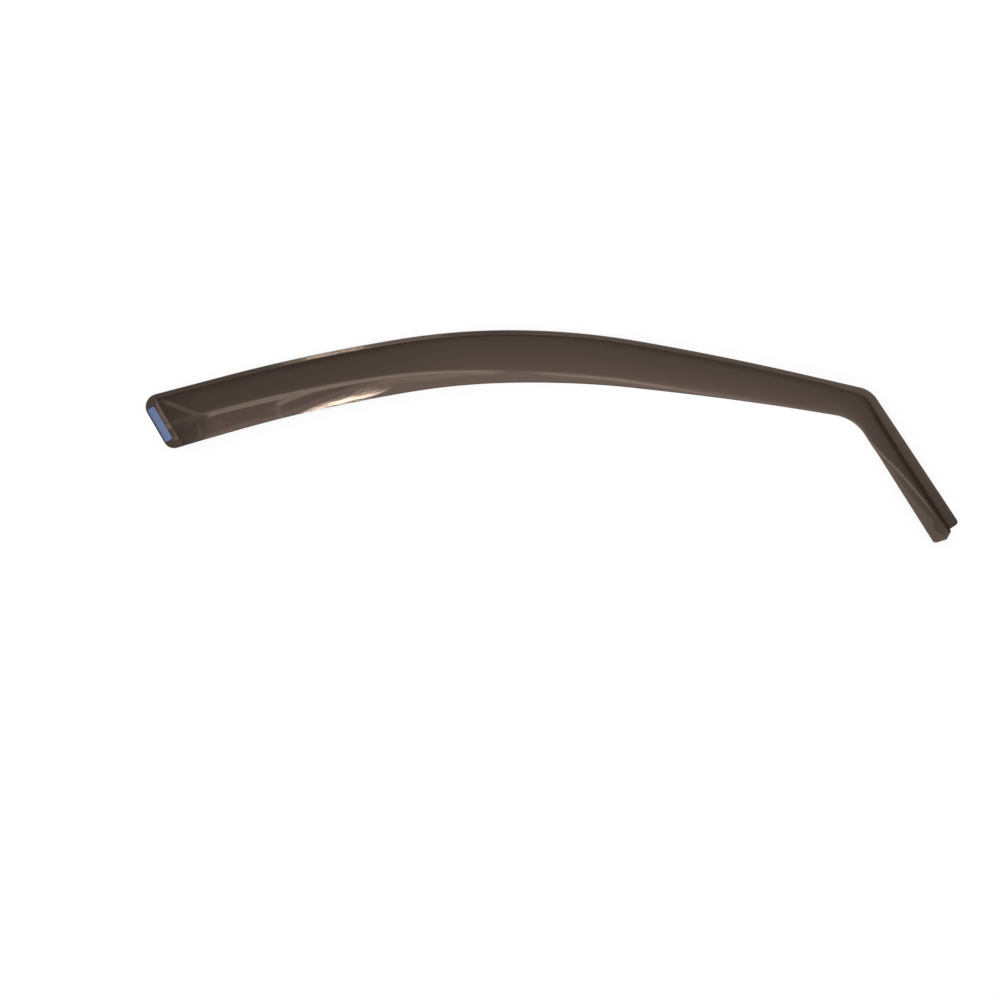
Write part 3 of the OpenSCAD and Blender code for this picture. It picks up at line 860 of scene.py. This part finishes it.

# %% [markdown]
# ## The foam's finish
# Seen from above, only a thin black frame of foam shows round the liner. Black foam is never
# plain black: each cut pore is a small dent, and its middle is painted darker than its wall as
# painted shade in the hollow. A picture of foam would repeat and blur. So the pores come from a
# pattern of cells, each about a quarter of a millimetre wide.

# %% Black foam
foam, tree, out = new_material("foam_with_pores")
place = add_node(tree, "ShaderNodeTexCoord").outputs["Object"]
pores = add_node(tree, "ShaderNodeTexVoronoi", Vector=place, Scale=4200.0)
# Painted shade: the middle of each pore is painted darker than its wall
shade = add_node(tree, "ShaderNodeValToRGB", Fac=pores.outputs["Distance"])
shade.color_ramp.elements[0].color = (0.006, 0.006, 0.008, 1)
shade.color_ramp.elements[1].color = (0.035, 0.033, 0.038, 1)
dents = add_node(tree, "ShaderNodeBump", Height=pores.outputs["Distance"], Strength=0.6, Distance=0.0001)
matt = add_node(tree, "ShaderNodeBsdfPrincipled", Roughness=0.85, Normal=dents.outputs["Normal"])
tree.links.new(shade.outputs["Color"], matt.inputs["Base Color"])
tree.links.new(matt.outputs["BSDF"], out.inputs["Surface"])
dress(tape, foam)
print("Foam on", tape.name)

# %% [markdown]
# ## The liner's finish
# The liner is a satin film with an embossed cross-hatch. Modelling every ridge would take
# thousands of faces for a strip 8 mm wide. Two wave patterns that lean to either side are
# multiplied instead, and the product sets both the colour and a fine bump.

# %% Blue liner
film, tree, out = new_material("embossed_film")
place = add_node(tree, "ShaderNodeTexCoord").outputs["Object"]
turned = add_node(tree, "ShaderNodeMapping", Vector=place, Rotation=(0, 0, end_heading))
hatch, HATCH_LEAN = [], 0.8
for lean in (HATCH_LEAN, -HATCH_LEAN):
    across = add_node(tree, "ShaderNodeMapping", Vector=turned.outputs["Vector"], Rotation=(0, 0, lean))
    hatch.append(add_node(tree, "ShaderNodeTexWave", Vector=across.outputs["Vector"], Scale=190.0))
cross_hatch = add_node(tree, "ShaderNodeMath", {"operation": "MULTIPLY"})
tree.links.new(hatch[0].outputs["Fac"], cross_hatch.inputs[0])
tree.links.new(hatch[1].outputs["Fac"], cross_hatch.inputs[1])
shade = add_node(tree, "ShaderNodeValToRGB", Fac=cross_hatch.outputs[0])
shade.color_ramp.elements[0].color = (0.17, 0.235, 0.46, 1)
shade.color_ramp.elements[1].color = (0.255, 0.345, 0.66, 1)
embossed = add_node(
    tree, "ShaderNodeBump", Height=cross_hatch.outputs[0], Strength=0.5, Distance=0.00008
)
satin = add_node(tree, "ShaderNodeBsdfPrincipled", Roughness=0.38, Normal=embossed.outputs["Normal"])
tree.links.new(shade.outputs["Color"], satin.inputs["Base Color"])
tree.links.new(satin.outputs["BSDF"], out.inputs["Surface"])
dress(liner, film)
print("Materials:", [m.name for m in bpy.data.materials if m.use_nodes])

# %% [markdown]
# ## Floor and light
# The floor is white paper. Lamps could make it white, but they would wash out the sheet as well.
# So it glows by itself, and it glows less where something stands close over it: this is the soft
# shadow. Light creeps in under the free lower edge of the sheet and hardly under the flange, so
# the paper seen through the sheet gets darker towards its top edge. The steep step mirrors the
# paper beside the sheet. At so flat an angle a plain glowing floor would look too bright, so its
# mirror image is dimmed.

# %% Floor
FLOOR_HALF, FLOOR_GAP = 6, 0.2 * MM
floor_corners = [(x * FLOOR_HALF, y * FLOOR_HALF, 0) for x, y in ((-1, -1), (1, -1), (1, 1), (-1, 1))]
floor_mesh = bpy.data.meshes.new("floor")
floor_mesh.from_pydata(floor_corners, [], [(0, 1, 2, 3)])
floor = bpy.data.objects.new("floor", floor_mesh)
bpy.context.scene.collection.objects.link(floor)
floor.location.z = -FLOOR_GAP
print("Floor:", 2 * FLOOR_HALF, "m wide,", FLOOR_GAP / MM, "mm under the sheet")

# %% Paper
PAPER_SHADOW, PAPER_UNDER_SHEET, PAPER_MIRRORED = 0.86, 0.36, 0.2
SHADOW_REACH = 0.02

paper, tree, out = new_material("paper")
seen = add_node(tree, "ShaderNodeLightPath")
covered = add_node(tree, "ShaderNodeAmbientOcclusion", {"samples": 4}, Distance=SHADOW_REACH)
darkest = add_node(tree, "ShaderNodeMapRange", Value=seen.outputs["Is Camera Ray"])
darkest.inputs["To Min"].default_value = PAPER_UNDER_SHEET
darkest.inputs["To Max"].default_value = PAPER_SHADOW
level = add_node(tree, "ShaderNodeMapRange", Value=covered.outputs["AO"])
tree.links.new(darkest.outputs["Result"], level.inputs["To Min"])
reflected = add_node(tree, "ShaderNodeMath", {"operation": "SUBTRACT"})
tree.links.new(seen.outputs["Is Glossy Ray"], reflected.inputs[0])
tree.links.new(seen.outputs["Is Transmission Ray"], reflected.inputs[1])
mirrored = add_node(tree, "ShaderNodeMapRange", Value=reflected.outputs[0])
mirrored.inputs["To Min"].default_value = 1
mirrored.inputs["To Max"].default_value = PAPER_MIRRORED
dimmed = add_node(tree, "ShaderNodeMath", {"operation": "MULTIPLY"})
tree.links.new(level.outputs["Result"], dimmed.inputs[0])
tree.links.new(mirrored.outputs["Result"], dimmed.inputs[1])
glow = add_node(tree, "ShaderNodeEmission", Strength=dimmed.outputs[0])
tree.links.new(glow.outputs[0], out.inputs["Surface"])
dress(floor, paper)
print("Paper: in the shadow it glows at", PAPER_SHADOW, "and under the sheet at", PAPER_UNDER_SHEET)

# %% [markdown]
# ## The room
# The room over the table is grey, with a paler band straight overhead. An even world would make
# the smoked sheet look flat, and one with a picture of a room would put strange shapes in it. So
# the world's brightness only falls off smoothly from the band to both sides.

# %% World
WORLD_MIDDLE, WORLD_SIDES = 0.62, 0.26

world = bpy.data.worlds.new("studio")
bpy.context.scene.world = world
world.use_nodes = True
tree = world.node_tree
direction = add_node(tree, "ShaderNodeTexCoord").outputs["Generated"]
sideways = add_node(tree, "ShaderNodeSeparateXYZ", Vector=direction)
aside = add_node(tree, "ShaderNodeMath", {"operation": "ABSOLUTE"})
tree.links.new(sideways.outputs["X"], aside.inputs[0])
sky = add_node(
    tree, "ShaderNodeMapRange", {"interpolation_type": "SMOOTHSTEP"}, Value=aside.outputs[0],
    From_Min=0.04, From_Max=0.24, To_Min=WORLD_MIDDLE, To_Max=WORLD_SIDES
)
tree.nodes["Background"].inputs["Color"].default_value = (1, 1, 1, 1)
tree.links.new(sky.outputs["Result"], tree.nodes["Background"].inputs["Strength"])
print("World: a pale band overhead,", WORLD_MIDDLE, "in its middle and", WORLD_SIDES, "beside it")

# %% [markdown]
# ## Lamps
# The sheet is a curved mirror. Each highlight of the real one is the picture of a lamp or a
# window. One large lamp would lay a haze over all of the sheet. So there are many, and each is
# placed where the ray from the camera goes after it meets the sheet at one highlight. The lamps
# are given by the picture's own pixels and hang at one height, but where two of them overlap,
# one hangs a little lower: of two lamps in one plane only one is seen. The lamp of the bright
# streak is narrow and aimed at it, so that it lights nothing else.

# %% Soft boxes
BOX_HEIGHT = 1.5


def soft_box(name, left, top, right, bottom, brightness, turn=0, drop=0, aim=None, spread=180):
    """A lamp over the table; its sides and the place it is aimed at are pixels of the picture."""
    # A narrow spread makes a lamp brighter along its middle, so its energy is divided by that gain
    half = np.radians(spread / 2)
    gain = 1 if spread == 180 else np.tan(half) / (np.tan(half) - half)
    lamp = bpy.data.lights.new(name, "AREA")
    lamp.shape = "RECTANGLE"
    lamp.size, lamp.size_y = (right - left) * MM_PER_PX * MM, (bottom - top) * MM_PER_PX * MM
    lamp.energy = brightness / gain * 4 * lamp.size * lamp.size_y
    lamp.spread = 2 * half
    box = bpy.data.objects.new(name, lamp)
    bpy.context.scene.collection.objects.link(box)
    box.location = (*picture_place((left + right) / 2, (top + bottom) / 2), BOX_HEIGHT - drop)
    facing = mathutils.Quaternion()
    if aim:
        towards = mathutils.Vector((*picture_place(*aim), 0)) - box.location
        facing = towards.to_track_quat("-Z", "Y")
    box.rotation_euler = (facing @ mathutils.Quaternion((0, 0, 1), np.radians(turn))).to_euler()
    box.visible_camera = False


print("Soft boxes hang", BOX_HEIGHT, "m over the table")

# %% Lamps of the sheet and the tape
soft_box("lip_light", -210, 965, 1310, 2100, 0.6)
soft_box("ridge_light_far", 70, -150, 470, 298, 1.4)
soft_box("ridge_light_near", 170, 385, 448, 760, 1.9)
soft_box("ridge_light_step", 325, 760, 448, 850, 1.6)
soft_box("ridge_light_turn", 350, 844, 386, 1056, 0.7, turn=20, drop=0.02)
soft_box("ridge_light_low", 375, 1050, 430, 1330, 0.7, drop=0.02)
soft_box("front_ridge_far", 516, -150, 690, 298, 1.3)
soft_box("front_ridge_near", 503, 385, 660, 860, 1.8)
soft_box("flange_light", 240, 308, 350, 338, 1.8, turn=9.6)
soft_box("flange_light_front", 352, 294, 432, 324, 1.2, turn=9.6)
soft_box("flange_spark", 270, 323, 336, 326, 24, turn=10.9, drop=0.02)
soft_box("rear_crease_light", -640, -20, 55, 330, 0.8)
soft_box("rear_fold_light", -800, 420, -600, 800, 0.7)
soft_box("rear_fold_light_low", -760, 940, -300, 975, 0.6)
soft_box("leg_crease_light", 1350, -80, 2050, 430, 1.0)
soft_box("streak_light", 467, 1062, 473, 1258, 75, turn=0.9, drop=0.02, aim=(340, 402), spread=12)
soft_box("tape_light", -1200, 0, -900, 300, 2.2, aim=(159, 424))
